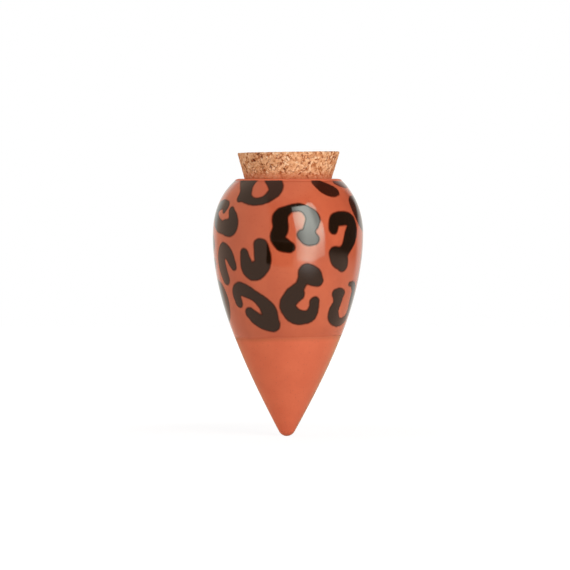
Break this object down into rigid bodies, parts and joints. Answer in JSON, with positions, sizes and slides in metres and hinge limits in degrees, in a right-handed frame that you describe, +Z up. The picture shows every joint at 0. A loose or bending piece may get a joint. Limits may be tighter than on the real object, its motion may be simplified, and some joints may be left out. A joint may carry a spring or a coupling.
{
  "type": "irrigation olla",
  "caption": "Pointed round earthenware vessel that stands in soil and seeps water through its bare cone, glazed above the soil, with a tapered cork stopper in its mouth.",
  "frame": {"origin": "on the vessel's axis at the lower edge of the glaze, which is the soil line in use", "axes": "+Z up along the vessel's axis to the stopper, -Z down to the point; X and Y are square to it and alike"},
  "size_m": [0.085, 0.085, 0.1604],
  "materials": {
    "earthenware": "gloss",
    "cork": "matte"
  },
  "bodies": {
    "vessel": {"clay_vessel": "earthenware"},
    "stopper": {"cork_stopper": "cork"}
  },
  "joints": [
    {"name": "stopper_pull", "type": "slide", "parent": "vessel", "child": "stopper", "axis": [0, 0, 1], "range_m": [0, 0.06]}
  ]
}
